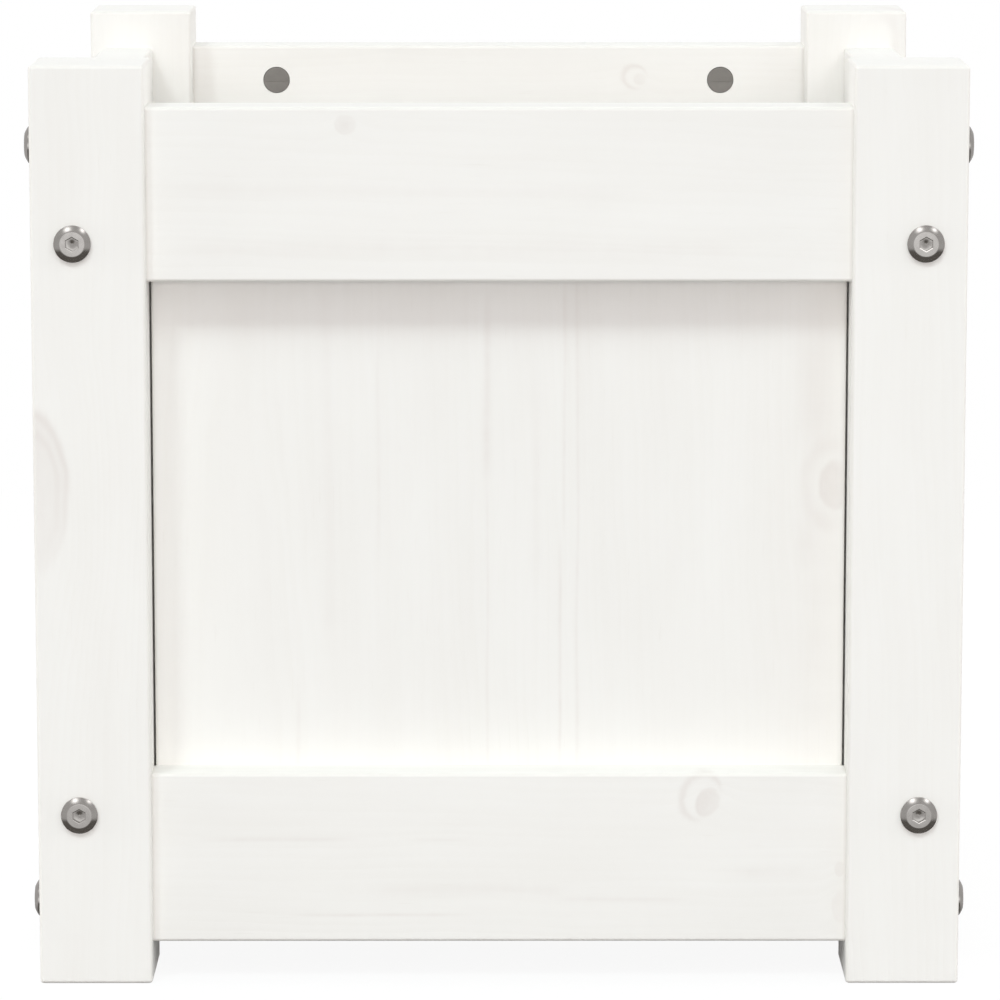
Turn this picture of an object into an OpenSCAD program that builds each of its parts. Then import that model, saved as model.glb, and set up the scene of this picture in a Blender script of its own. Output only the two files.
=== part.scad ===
// Square wooden planter: four posts, framed panels on four sides and a slatted base.
// The pieces are held by bolts that run through the posts into barrel nuts in the rails.
// Origin: centre of the footprint on the floor. +Z is up and the front faces -Y.

/* [Overall size] */
// Width over the outer faces of the posts, left to right
bed_w = 310; // [270:5:450]
// Depth over the outer faces of the posts, front to back
bed_d = 310; // [270:5:450]
// Height from the floor to the tops of the posts
bed_h = 310; // [250:5:450]

/* [Posts] */
// Side of the square posts
post_w = 38; // [34:1:44]
// Radius of the eased edges of all the wood
ease_r = 1.2; // [0.6:0.2:2]

/* [Rails] */
// Height of each rail
rail_h = 58; // [50:1:70]
// Thickness of each rail
rail_t = 19; // [18:1:24]
// How far the rail faces lie behind the post faces
rail_recess = 4.5; // [2:0.5:7]
// How far the posts stand up above the upper rails
post_rise = 14; // [6:1:30]
// Clear height under the lower rails
foot_gap = 13.5; // [8:0.5:25]

/* [Panels] */
// Thickness of each panel
panel_t = 12; // [9:1:15]
// How far the panel faces lie behind the rail faces
panel_recess = 13.5; // [11:0.5:15]
// How far a panel reaches behind each of its rails
panel_lap = 6; // [4:0.5:6.5]
// Gap between a panel's side edges and the posts
panel_gap = 0.7; // [0.4:0.1:1.5]
// Play above and below a panel in its rebates
rebate_play = 0.4; // [0.2:0.1:0.8]

/* [Panel pins] */
// Diameter of a panel pin
pin_d = 1.6; // [1.2:0.1:2]
// Diameter of a panel pin's head
pin_head_d = 3.4; // [3:0.1:4]
// Thickness of a panel pin's head
pin_head_t = 0.7; // [0.5:0.1:1]
// How deep a panel pin reaches into a rail
pin_grip = 9; // [6:0.5:10]
// Number of pins along each rail
pin_count = 4; // [2:1:6]
// Distance from a panel's side edge to its first pin
pin_end = 18; // [12:1:30]

/* [Bolts] */
// Diameter of the bolts
bolt_d = 6; // [5:0.5:7]
// Radial clearance round a bolt in the wood
bolt_play = 0.5; // [0.3:0.1:1]
// Distance from a rail's edge to the axis of its bolt
bolt_edge = 13.2; // [13:0.2:18]
// How far a bolt reaches past the axis of its barrel nut
bolt_past = 8; // [6:1:12]
// Bevel at a bolt's tip
bolt_tip = 1; // [0.5:0.1:1.5]
// Diameter of a bolt's head
head_d = 12.4; // [11:0.2:14]
// Height of a bolt's head
head_h = 2.4; // [2.2:0.1:3.4]
// Height of the upright rim of a bolt's head
head_rim = 1; // [0.5:0.1:1.5]
// Diameter of the flat on top of a bolt's head
head_flat_d = 8.2; // [7.4:0.2:9]
// Width across the flats of the hex socket
socket_af = 4; // [3:0.5:5]
// Depth of the hex socket
socket_depth = 2; // [1.4:0.1:2]

/* [Barrel nuts] */
// Diameter of the barrel nuts
nut_d = 10; // [9:0.5:11]
// Distance from a rail's end to the axis of its barrel nut
nut_in = 32; // [25:1:40]
// How far a barrel nut reaches past the bolt's axis
nut_end = 5; // [4.5:0.5:6]
// Radial clearance round a barrel nut in the wood
nut_play = 0.1; // [0.1:0.05:0.3]
// Radial clearance of a bolt in its barrel nut
thread_play = 0.05; // [0.05:0.05:0.2]
// Width of the slot in a barrel nut's end
nut_slot_w = 1.3; // [0.8:0.1:2]
// Depth of the slot in a barrel nut's end
nut_slot_depth = 1; // [0.6:0.1:1.4]

/* [Dowels] */
// Diameter of the locating dowels
dowel_d = 8; // [6:0.5:9]
// Length of the locating dowels, half in the post and half in the rail
dowel_len = 30; // [20:1:32]
// Clearance round a dowel and past each of its ends
dowel_play = 0.1; // [0.05:0.05:0.3]

/* [Base] */
// Width of the two bearers that carry the floor
bearer_w = 18; // [16:1:24]
// Height of the bearers
bearer_h = 18; // [16:1:22]
// Height of the bearers above the lower edges of the rails
bearer_lift = 6.5; // [2:0.5:9]
// Gap between a bearer's ends and the posts
bearer_gap = 1; // [0.5:0.5:3]
// Thickness of the floor slats
slat_t = 12; // [9:1:15]
// Number of floor slats
slat_count = 5; // [4:1:6]
// Drainage gap between two slats
slat_gap = 6; // [4:1:10]
// Gap between the floor and the rails and posts round it
floor_gap = 1; // [0.5:0.5:3]

/* [Screws] */
// Diameter of the wood screws
screw_d = 3.5; // [3:0.5:4.5]
// Diameter of a wood screw's countersunk head
screw_head_d = 7; // [6.5:0.5:8]
// How deep a screw reaches into the piece it bites
screw_bite = 12; // [8:1:13]
// Radial clearance round a screw and a pin
screw_play = 0.05; // [0.05:0.05:0.2]
// Width of the cross recess in a screw's head
cross_w = 1; // [0.8:0.1:1.3]
// Length of the cross recess in a screw's head
cross_len = 4; // [3:0.5:5]
// Depth of the cross recess in a screw's head
cross_depth = 1.2; // [0.8:0.1:1.5]

/* [Hidden] */
SIDES = ["front", "right", "back", "left"];
CORNERS = ["front_left", "front_right", "back_right", "back_left"];
LEVELS = ["upper", "lower"];
BEARER_SIDES = [1, 3];

paint = [0.95, 0.94, 0.92];
bare_wood = [0.86, 0.74, 0.56];
steel = [0.74, 0.74, 0.75];

$fn = 48;
// Short overshoot that lets a cut pass cleanly through a face
cut = 1;

upper_rail_z = bed_h - post_rise - rail_h;
lower_rail_top = foot_gap + rail_h;
rail_back = rail_recess + rail_t;
bolt_axis = rail_recess + rail_t / 2;
panel_face = rail_recess + panel_recess;
panel_back = panel_face + panel_t;
nut_len = rail_t / 2 + nut_end;
bolt_len = post_w + nut_in + bolt_past;
bolt_hole_r = bolt_d / 2 + bolt_play;
bearer_z = foot_gap + bearer_lift;
bearer_back = rail_back + bearer_w;
floor_z = bearer_z + bearer_h;
floor_inset = rail_back + floor_gap;
floor_len = bed_w - 2 * floor_inset;
floor_depth = bed_d - 2 * floor_inset;
slat_w = (floor_depth - (slat_count - 1) * slat_gap) / slat_count;
slat_pitch = slat_w + slat_gap;
screw_head_h = (screw_head_d - screw_d) / 2;

// Clear length between the two posts of a side
function span(i) = (i % 2 == 0 ? bed_w : bed_d) - 2 * post_w;

// Distance from the centre to the post faces of a side
function face_out(i) = (i % 2 == 0 ? bed_d : bed_w) / 2;

// Height on a rail above the edge that meets the panel. The front and back rails are bolted near
// their far edges and the side rails near the panel, so that the bolts pass each other in a post.
function bolt_up(i) = i % 2 == 0 ? rail_h - bolt_edge : bolt_edge;
function dowel_up(i) = rail_h - bolt_up(i);

// Height above the floor of a place on a rail that is given from its panel edge
function on_rail(level, up) = level == "upper" ? upper_rail_z + up : lower_rail_top - up;

// Centre line of slat k, counted from the front
function slat_y(k) = -floor_depth / 2 + slat_w / 2 + (k - 1) * slat_pitch;

// Place of the screws of slat k along the bearers, at the middle of what lies on them
function slat_screw_y(k) =
    let (reach = bed_d / 2 - post_w - floor_gap)
    (max(slat_y(k) - slat_w / 2, -reach) + min(slat_y(k) + slat_w / 2, reach)) / 2;

// Centre line of pin k of a side
function pin_x(i, k) =
    let (reach = span(i) / 2 - panel_gap - pin_end)
    -reach + k * 2 * reach / (pin_count - 1);

// Places a side's pieces: x runs along the side, y inwards from the post faces, z up
module on_side(i) {
    rotate([0, 0, 90 * i])
        translate([0, -face_out(i), 0])
            children();
}

// Rectangle from the origin with rounded corners
module eased_rect(w, h, r) {
    translate([r, 0])
        square([w - 2 * r, h]);
    translate([0, r])
        square([w, h - 2 * r]);
    for (x = [r, w - r], y = [r, h - r])
        translate([x, y])
            circle(r);
}

// Bar along x from the origin with its four long edges eased
module bar_x(length, w, h) {
    rotate([90, 0, 90])
        linear_extrude(length)
            eased_rect(w, h, ease_r);
}

// Cylinder from a point towards +y
module rod_y(r, length) {
    rotate([-90, 0, 0])
        cylinder(r = r, h = length);
}

// Countersunk wood screw with its head at the origin, pointing down
module screw_shape(length, play = 0) {
    rotate_extrude()
        polygon([
            [0, 0],
            [screw_head_d / 2 + play, 0],
            [screw_d / 2 + play, -screw_head_h],
            [screw_d / 2 + play, screw_d / 2 - length],
            [0, -length - play]
        ]);
}

// Countersunk hole for such a screw, open above
module screw_hole(length) {
    screw_shape(length, screw_play);
    cylinder(r = screw_head_d / 2 + screw_play, h = cut);
}

module wood_screw(length) {
    difference() {
        screw_shape(length);
        for (a = [0, 90])
            rotate([0, 0, a])
                translate([-cross_len / 2, -cross_w / 2, -cross_depth])
                    cube([cross_len, cross_w, cross_depth + cut]);
    }
}

// Bolt and dowel holes at one end of a side's rails, where end is -1 or 1
module joint_holes(i, end) {
    for (level = LEVELS) {
        translate([end * (span(i) / 2 + post_w + cut), bolt_axis, on_rail(level, bolt_up(i))])
            rotate([0, -end * 90, 0])
                cylinder(r = bolt_hole_r, h = bolt_len + 2 * cut);
        translate([end * (span(i) / 2 + dowel_len / 2 + dowel_play), bolt_axis,
                   on_rail(level, dowel_up(i))])
            rotate([0, -end * 90, 0])
                cylinder(r = dowel_d / 2 + dowel_play, h = dowel_len + 2 * dowel_play);
    }
}

// Post at corner k, which stands at the left end of side k and at the right end of the side before
module post(k) {
    right = k == 1 || k == 2;
    back = k >= 2;
    color(paint)
        difference() {
            translate([right ? bed_w / 2 - post_w : -bed_w / 2,
                       back ? bed_d / 2 - post_w : -bed_d / 2, 0])
                intersection() {
                    linear_extrude(bed_h)
                        eased_rect(post_w, post_w, ease_r);
                    bar_x(post_w, post_w, bed_h);
                    translate([0, post_w, 0])
                        rotate([90, 0, 0])
                            linear_extrude(post_w)
                                eased_rect(post_w, bed_h, ease_r);
                }
            on_side(k)
                joint_holes(k, -1);
            on_side((k + 3) % 4)
                joint_holes((k + 3) % 4, 1);
        }
}

// Rail of side i with its rebate for the panel, its barrel nut holes and its pin holes
module rail(level, i) {
    low_z = level == "upper" ? upper_rail_z : foot_gap;
    rebate_h = panel_lap + rebate_play;
    rebate_z = level == "upper" ? low_z - cut : low_z + rail_h - rebate_h;
    color(paint)
        on_side(i)
            difference() {
                translate([-span(i) / 2, rail_recess, low_z])
                    bar_x(span(i), rail_t, rail_h);
                translate([-span(i) / 2 - cut, panel_face, rebate_z])
                    cube([span(i) + 2 * cut, rail_t, rebate_h + cut]);
                for (end = [-1, 1]) {
                    joint_holes(i, end);
                    translate([end * (span(i) / 2 - nut_in), rail_back - nut_len - nut_play,
                               on_rail(level, bolt_up(i))])
                        rod_y(nut_d / 2 + nut_play, nut_len + cut);
                }
                pin_holes(i);
                if (i % 2 == 1 && level == "lower")
                    bearer_screw_places()
                        screw_hole(bearer_w + screw_bite);
            }
}

// Panel of side i, with vertical edges eased
module panel(i) {
    low_z = lower_rail_top - panel_lap;
    w = span(i) - 2 * panel_gap;
    color(paint)
        on_side(i)
            difference() {
                translate([-w / 2, panel_face, low_z])
                    linear_extrude(upper_rail_z + panel_lap - low_z)
                        eased_rect(w, panel_t, ease_r);
                pin_holes(i);
            }
}

// Places something at each panel pin of a side, where +y of the child points inwards
module pin_places(i) {
    for (level = LEVELS, k = [0:pin_count - 1])
        translate([pin_x(i, k), panel_back, on_rail(level, panel_lap / 2)])
            children();
}

// Panel pin with its head at the origin, pointing outwards
module pin_shape(play = 0, above = 0) {
    translate([0, -pin_head_t - play, 0])
        rod_y(pin_head_d / 2 + play, pin_head_t + play + above);
    translate([0, -panel_t - pin_grip - play, 0])
        rod_y(pin_d / 2 + play, panel_t + pin_grip);
}

module pin_holes(i) {
    pin_places(i)
        pin_shape(screw_play, cut);
}

module pins(i) {
    color(steel)
        on_side(i)
            pin_places(i)
                pin_shape();
}

// Bolt with its head's underside at the origin, its shank pointing down
module bolt() {
    difference() {
        rotate_extrude()
            polygon([
                [0, head_h],
                [head_flat_d / 2, head_h],
                [head_d / 2, head_rim],
                [head_d / 2, 0],
                [bolt_d / 2, 0],
                [bolt_d / 2, bolt_tip - bolt_len],
                [bolt_d / 2 - bolt_tip, -bolt_len],
                [0, -bolt_len]
            ]);
        translate([0, 0, head_h - socket_depth])
            cylinder(d = socket_af / cos(30), h = socket_depth + cut, $fn = 6);
    }
}

// The four bolts that hold the rails of side i
module bolts(i) {
    color(steel)
        on_side(i)
            for (level = LEVELS, end = [-1, 1])
                translate([end * (span(i) / 2 + post_w), bolt_axis, on_rail(level, bolt_up(i))])
                    rotate([0, end * 90, 0])
                        bolt();
}

// The four barrel nuts of side i, flush with the inner faces of its rails
module barrel_nuts(i) {
    color(steel)
        on_side(i)
            for (level = LEVELS, end = [-1, 1])
                translate([end * (span(i) / 2 - nut_in), rail_back - nut_len,
                           on_rail(level, bolt_up(i))])
                    difference() {
                        rod_y(nut_d / 2, nut_len);
                        translate([-nut_d, nut_end, 0])
                            rotate([0, 90, 0])
                                cylinder(r = bolt_d / 2 + thread_play, h = 2 * nut_d);
                        translate([-nut_d, nut_len - nut_slot_depth, -nut_slot_w / 2])
                            cube([2 * nut_d, nut_slot_depth + cut, nut_slot_w]);
                    }
}

// The four locating dowels of side i
module dowels(i) {
    color(bare_wood)
        on_side(i)
            for (level = LEVELS, end = [-1, 1])
                translate([end * span(i) / 2 - dowel_len / 2, bolt_axis, on_rail(level, dowel_up(i))])
                    rotate([0, 90, 0])
                        cylinder(d = dowel_d, h = dowel_len);
}

// Places a screw of side i's bearer at each gap between two slats, head on the inner face.
// The children point down, so they are turned to point outwards into the rail.
module bearer_screw_places() {
    for (k = [1:slat_count - 1])
        translate([slat_y(k) + slat_pitch / 2, bearer_back, bearer_z + bearer_h / 2])
            rotate([-90, 0, 0])
                children();
}

// Places a screw at both ends of slat k, over the middles of the bearers
module slat_screw_places(k) {
    for (end = [-1, 1])
        translate([end * (bed_w / 2 - rail_back - bearer_w / 2), slat_screw_y(k),
                   floor_z + slat_t])
            children();
}

// Bearer of side i, screwed to the lower rail
module bearer(i) {
    length = span(i) - 2 * bearer_gap;
    color(paint)
        difference() {
            on_side(i)
                difference() {
                    translate([-length / 2, rail_back, bearer_z])
                        bar_x(length, bearer_w, bearer_h);
                    bearer_screw_places()
                        screw_hole(bearer_w + screw_bite);
                }
            for (k = [1:slat_count])
                slat_screw_places(k)
                    screw_hole(slat_t + screw_bite);
        }
}

module bearer_screws(i) {
    color(steel)
        on_side(i)
            bearer_screw_places()
                wood_screw(bearer_w + screw_bite);
}

// Floor slat k. The first and the last are notched round the posts.
module slat(k) {
    notch = post_w + floor_gap;
    color(paint)
        difference() {
            translate([-floor_len / 2, slat_y(k) - slat_w / 2, floor_z])
                bar_x(floor_len, slat_w, slat_t);
            for (x = [-bed_w / 2, bed_w / 2 - notch], y = [-bed_d / 2, bed_d / 2 - notch])
                translate([x, y, floor_z - cut])
                    cube([notch, notch, slat_t + 2 * cut]);
            slat_screw_places(k)
                screw_hole(slat_t + screw_bite);
        }
}

module slat_screws() {
    color(steel)
        for (k = [1:slat_count])
            slat_screw_places(k)
                wood_screw(slat_t + screw_bite);
}

for (k = [0:3])
    post(k);
for (level = LEVELS, i = [0:3])
    rail(level, i);
for (i = [0:3])
    panel(i);
for (i = BEARER_SIDES)
    bearer(i);
for (k = [1:slat_count])
    slat(k);
for (i = [0:3])
    bolts(i);
for (i = [0:3])
    barrel_nuts(i);
for (i = [0:3])
    dowels(i);
for (i = [0:3])
    pins(i);
for (i = BEARER_SIDES)
    bearer_screws(i);
slat_screws();
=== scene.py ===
# Looks of a square planter of white painted pine: its boards, bolts, nuts, dowels, pins and screws,
# the floor, the light and the camera.
import math
import random
from collections import namedtuple
import bmesh
import bpy
from mathutils import Matrix, Vector


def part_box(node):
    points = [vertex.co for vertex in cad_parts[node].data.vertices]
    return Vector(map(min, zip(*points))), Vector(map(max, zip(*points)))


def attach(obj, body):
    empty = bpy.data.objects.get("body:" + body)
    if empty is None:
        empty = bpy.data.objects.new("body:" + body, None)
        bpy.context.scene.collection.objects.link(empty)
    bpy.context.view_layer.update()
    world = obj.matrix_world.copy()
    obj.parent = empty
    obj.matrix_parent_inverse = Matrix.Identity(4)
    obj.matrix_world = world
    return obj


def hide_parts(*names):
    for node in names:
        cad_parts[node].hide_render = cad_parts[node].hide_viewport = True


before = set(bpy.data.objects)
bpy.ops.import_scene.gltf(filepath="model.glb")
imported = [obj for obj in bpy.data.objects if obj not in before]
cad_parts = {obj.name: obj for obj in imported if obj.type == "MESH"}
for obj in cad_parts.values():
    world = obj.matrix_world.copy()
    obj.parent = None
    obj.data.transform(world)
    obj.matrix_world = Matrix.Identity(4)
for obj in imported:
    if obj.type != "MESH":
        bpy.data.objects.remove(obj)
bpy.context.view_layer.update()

MM = 0.001
X, Y, Z = 0, 1, 2

SIDES = ("front", "right", "back", "left")
# Axis that each side's rails run along, and the way its outer face looks
RUN = {"front": X, "right": Y, "back": X, "left": Y}
OUTWARD = {
    "front": Vector((0, -1, 0)),
    "right": Vector((1, 0, 0)),
    "back": Vector((0, 1, 0)),
    "left": Vector((-1, 0, 0)),
}
BEARER_SIDES = ("right", "left")
ENDS = (-1, 1)
SLAT_COUNT = 5

# Wood
EASE = 1.2 * MM
PANEL_EASE = 0.5 * MM
EASE_STEPS = 4
REBATE_PLAY = 0.4 * MM
# How far a cutter reaches past the face that it cuts
CUT = 1 * MM

# Sides of round pieces, from the bolts down to the pins
ROUND_SIDES = 48
SCREW_SIDES = 32
PIN_SIDES = 24
HEXAGON = 6
# Edges that turn by more than this stay sharp, in degrees: on boards and small pieces, and on bolts,
# nuts and dowels
SHARP = 32
SHARP_TURNED = 24

# Bolts
BOLT_R = 3 * MM
BOLT_PLAY = 0.5 * MM
BOLT_PAST_NUT = 8 * MM
BOLT_TIP = 1 * MM
HEAD_RIM = 1.12 * MM
HEAD_FLAT_R = 3.98 * MM
HEAD_BULGE = 0.1 * MM
HEAD_STEPS = 5
HEAD_EDGE = 0.2 * MM
SOCKET_AF = 4 * MM
SOCKET_DEPTH = 1.55 * MM
# Width and slope of the chamfer round the socket's mouth
SOCKET_MOUTH = 0.26 * MM
MOUTH_SLOPE = math.radians(33)
# Slope of the drill point that bored the socket, and the play between drill and flats
SOCKET_SLOPE = math.radians(22)
SOCKET_DRILL_PLAY = 0.04 * MM
SOCKET_TIP_R = 0.25 * MM
# How far the drill's cutter reaches up into the hexagon
DRILL_OVERLAP = 0.2 * MM

# Barrel nuts
NUT_PLAY = 0.1 * MM
NUT_EDGE = 0.2 * MM
NUT_SLOT_W = 1.3 * MM
NUT_SLOT_DEPTH = 0.6 * MM
THREAD_PLAY = 0.05 * MM

# Dowels
DOWEL_PLAY = 0.1 * MM
DOWEL_EDGE = 1 * MM
DOWEL_FLUTE = 0.3 * MM
DOWEL_SIDES = 32

# Pins and screws
PIN_R = 0.8 * MM
PIN_HEAD_R = 1.7 * MM
PIN_HEAD_T = 0.7 * MM
# Radius of the dome's flat top, as a share of the head's
PIN_DOME = 0.8
PIN_COUNT = 4
PIN_PLAY = 0.05 * MM
SCREW_R = 1.75 * MM
SCREW_HEAD_R = 3.5 * MM
SCREW_PLAY = 0.05 * MM
CROSS_W = 1 * MM
CROSS_LEN = 4 * MM
CROSS_DEPTH = 1.2 * MM


# Ways of making, cutting and placing pieces


def pick(piece):
    """Selects one piece alone and makes it the active one."""
    bpy.ops.object.select_all(action="DESELECT")
    piece.select_set(True)
    bpy.context.view_layer.objects.active = piece


def new_piece(name):
    """Names the primitive that was just added and fixes its place in its mesh."""
    piece = bpy.context.object
    piece.name = name
    piece.data.name = name
    bpy.ops.object.transform_apply(location=True, rotation=True, scale=True)
    return piece


def start_edit(piece):
    pick(piece)
    bpy.ops.object.mode_set(mode="EDIT")


def end_edit():
    bpy.ops.object.mode_set(mode="OBJECT")


def choose(piece, kind, rule):
    """In edit mode, selects the faces or edges for which the rule holds, and nothing else."""
    bpy.ops.mesh.select_mode(type=kind)
    bpy.ops.mesh.select_all(action="DESELECT")
    shape = bmesh.from_edit_mesh(piece.data)
    for part in shape.faces if kind == "FACE" else shape.edges:
        if rule(part):
            part.select_set(True)
    bmesh.update_edit_mesh(piece.data)


def runs_along(edge, axis):
    """Whether an edge runs along X, Y or Z."""
    start, end = (corner.co for corner in edge.verts)
    step = end - start
    return abs(step[axis]) > 0.999 * step.length


def block(name, low, high):
    """A plain block between two corners, as stock for a board or as a cutter."""
    bpy.ops.object.select_all(action="DESELECT")
    bpy.ops.mesh.primitive_cube_add(size=1, location=(low + high) / 2, scale=high - low)
    return new_piece(name)


def round_bar(name, start, end, radius, sides=ROUND_SIDES):
    """A round bar from one point to another."""
    axis = end - start
    bpy.ops.object.select_all(action="DESELECT")
    bpy.ops.mesh.primitive_cylinder_add(
        vertices=sides,
        radius=radius,
        depth=axis.length,
        location=(start + end) / 2,
        rotation=axis.to_track_quat("Z", "Y").to_euler(),
    )
    return new_piece(name)


def cut(piece, cutters):
    """Takes each cutter's space out of a piece and throws the cutter away."""
    for cutter in cutters:
        modifier = piece.modifiers.new("cut", "BOOLEAN")
        modifier.operation = "DIFFERENCE"
        modifier.solver = "EXACT"
        modifier.object = cutter
        pick(piece)
        bpy.ops.object.modifier_apply(modifier=modifier.name)
        bpy.data.objects.remove(cutter)


def smooth(piece, angle=SHARP):
    """Smooth shading that keeps flat faces flat and true edges sharp."""
    pick(piece)
    bpy.ops.object.shade_smooth_by_angle(angle=math.radians(angle))
    modifier = piece.modifiers.new("normals", "WEIGHTED_NORMAL")
    modifier.keep_sharp = True
    bpy.ops.object.modifier_apply(modifier=modifier.name)


def copy_of(piece, name, place):
    """A copy with its own mesh, moved to its place in the mesh."""
    copy = piece.copy()
    copy.data = piece.data.copy()
    copy.name = name
    copy.data.name = name
    copy.data.transform(place)
    bpy.context.scene.collection.objects.link(copy)
    return copy


def join(pieces, name):
    """One piece of several loose ones, such as the four bolts of a side."""
    pick(pieces[0])
    for piece in pieces:
        piece.select_set(True)
    bpy.ops.object.join()
    pieces[0].name = name
    pieces[0].data.name = name
    return pieces[0]


def facing(point, direction):
    """Place of a fastener that is modelled along +Z: at a point, looking along a direction."""
    up = Vector((0, 1, 0)) if abs(direction.z) > 0.5 else Vector((0, 0, 1))
    turn = Matrix((up.cross(direction), up, direction)).transposed().to_4x4()
    return Matrix.Translation(point) @ turn


def hand_over(piece, node, material):
    """Gives a finished piece its material and puts it in the place of its CAD node."""
    piece.data.materials.clear()
    piece.data.materials.append(material)
    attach(piece, "root")
    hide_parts(node)


# Places of the fasteners, from the CAD parts

post_low, post_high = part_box("post_front_left")
POST_W = post_high.x - post_low.x
POST_OUT = -post_low.x
SPAN = POST_OUT - POST_W


def middle(low, high, axis):
    return (low[axis] + high[axis]) / 2


def at(run, along, across, up):
    """A point from its coordinates along a side, across it and up."""
    point = Vector((0, 0, up))
    point[run] = along
    point[1 - run] = across
    return point


def end_places(node, side, reach, radius):
    """Places of a side's bolts or dowels, two at each end of its rails, as (end, point) pairs."""
    low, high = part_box(node)
    run = RUN[side]
    across = middle(low, high, 1 - run)
    heights = (low.z + radius, high.z - radius)
    return [(end, at(run, end * reach, across, up)) for up in heights for end in ENDS]


def way(run, end):
    """Direction towards one end of a side."""
    direction = Vector()
    direction[run] = end
    return direction


bolt_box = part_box("bolts_front")
HEAD_R = (bolt_box[1].y - bolt_box[0].y) / 2
HEAD_H = bolt_box[1].x - POST_OUT
nut_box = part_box("barrel_nuts_front")
NUT_R = nut_box[1].z - (bolt_box[1].z - HEAD_R)
NUT_LEN = nut_box[1].y - nut_box[0].y
NUT_X = nut_box[1].x - NUT_R
# Depth of the bolt's axis under the slotted end of its barrel nut
NUT_AXIS_DEPTH = nut_box[1].y - middle(*bolt_box, Y)
BOLT_LEN = POST_OUT - NUT_X + BOLT_PAST_NUT
dowel_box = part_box("dowels_front")
DOWEL_R = (dowel_box[1].y - dowel_box[0].y) / 2
DOWEL_REACH = dowel_box[1].x - SPAN


def bolt_places(side):
    return end_places("bolts_" + side, side, POST_OUT, HEAD_R)


def dowel_places(side):
    return end_places("dowels_" + side, side, SPAN, DOWEL_R)


def inner_face(low, high, side):
    """Coordinate of the face of a side's box that looks into the planter."""
    across = 1 - RUN[side]
    return low[across] if OUTWARD[side][across] > 0 else high[across]


def nut_places(side):
    """Centres of a side's barrel nut holes on the inner faces of its rails."""
    low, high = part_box("barrel_nuts_" + side)
    face = inner_face(low, high, side)
    heights = (low.z + NUT_R, high.z - NUT_R)
    return [at(RUN[side], end * NUT_X, face, up) for up in heights for end in ENDS]


def pin_places(side):
    """Centres of a side's pin heads on the inner face of its panel."""
    low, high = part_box("pins_" + side)
    run = RUN[side]
    face = inner_face(low, high, side)
    reach = high[run] - PIN_HEAD_R
    heights = (low.z + PIN_HEAD_R, high.z - PIN_HEAD_R)
    steps = [2 * k / (PIN_COUNT - 1) - 1 for k in range(PIN_COUNT)]
    return [at(run, step * reach, face, up) for up in heights for step in steps]


def bearer_screw_places(side):
    """Centres of the screw heads on the inner face of a bearer, one at each gap of the floor."""
    low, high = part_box("bearer_screws_" + side)
    face = inner_face(low, high, side)
    places = []
    for k in range(1, SLAT_COUNT):
        gap = (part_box(f"slat_{k}")[1].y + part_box(f"slat_{k + 1}")[0].y) / 2
        places.append(Vector((face, gap, middle(low, high, Z))))
    return places


def slat_screw_places(k):
    """Centres of the two screw heads on top of a slat."""
    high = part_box("slat_screws")[1]
    reach = high.x - SCREW_HEAD_R
    y = middle(*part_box(f"slat_{k}"), Y)
    if k in (1, SLAT_COUNT):
        y = math.copysign(high.y - SCREW_HEAD_R, y)
    return [Vector((end * reach, y, high.z)) for end in ENDS]


# Boards


def board(name, low, high, along, ease_ends=False, ease=EASE):
    """A planed board, with the edges along its grain eased, and its ends too if asked."""
    piece = block(name, low, high)
    start_edit(piece)
    choose(piece, "EDGE", lambda edge: ease_ends or runs_along(edge, along))
    bpy.ops.mesh.bevel(offset=ease, segments=EASE_STEPS, affect="EDGES")
    end_edit()
    return piece


def joint_cutters(side, end):
    """Cutters for the bolt and dowel holes at one end of a side's two rails."""
    run = RUN[side]
    inward = way(run, -end)
    cutters = []
    for place_end, point in bolt_places(side):
        if place_end == end:
            start = point - inward * CUT
            stop = point + inward * (BOLT_LEN + CUT)
            cutters.append(round_bar("cutter", start, stop, BOLT_R + BOLT_PLAY))
    for place_end, point in dowel_places(side):
        if place_end == end:
            reach = inward * (DOWEL_REACH + DOWEL_PLAY)
            cutters.append(round_bar("cutter", point - reach, point + reach, DOWEL_R + DOWEL_PLAY))
    return cutters


def pin_cutters(side):
    """Two cutters for each pin of a side: one for its head and one for its shank."""
    low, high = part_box("pins_" + side)
    outward = OUTWARD[side]
    length = high[1 - RUN[side]] - low[1 - RUN[side]]
    cutters = []
    for point in pin_places(side):
        start = point - outward * CUT
        for radius, depth in ((PIN_HEAD_R, PIN_HEAD_T), (PIN_R, length)):
            stop = point + outward * (depth + PIN_PLAY)
            cutters.append(round_bar("cutter", start, stop, radius + PIN_PLAY, PIN_SIDES))
    return cutters


def screw_cutter(point, direction, depth):
    """A countersunk screw hole, bored into a face that looks along direction."""
    cutter = screw_blank("cutter", depth, SCREW_PLAY)
    cutter.data.transform(facing(point, direction))
    return cutter


def bearer_screw_cutters(side):
    low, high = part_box("bearer_screws_" + side)
    return [
        screw_cutter(point, -OUTWARD[side], high.x - low.x) for point in bearer_screw_places(side)
    ]


def slat_screw_cutters(k):
    low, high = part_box("slat_screws")
    return [screw_cutter(point, Vector((0, 0, 1)), high.z - low.z) for point in slat_screw_places(k)]


def make_post(corner, sides):
    """A post with the holes of the rails that meet in it, given as (side, end) pairs."""
    piece = board("painted_post_" + corner, *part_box("post_" + corner), Z, ease_ends=True)
    for side, end in sides:
        cut(piece, joint_cutters(side, end))
    return piece


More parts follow.
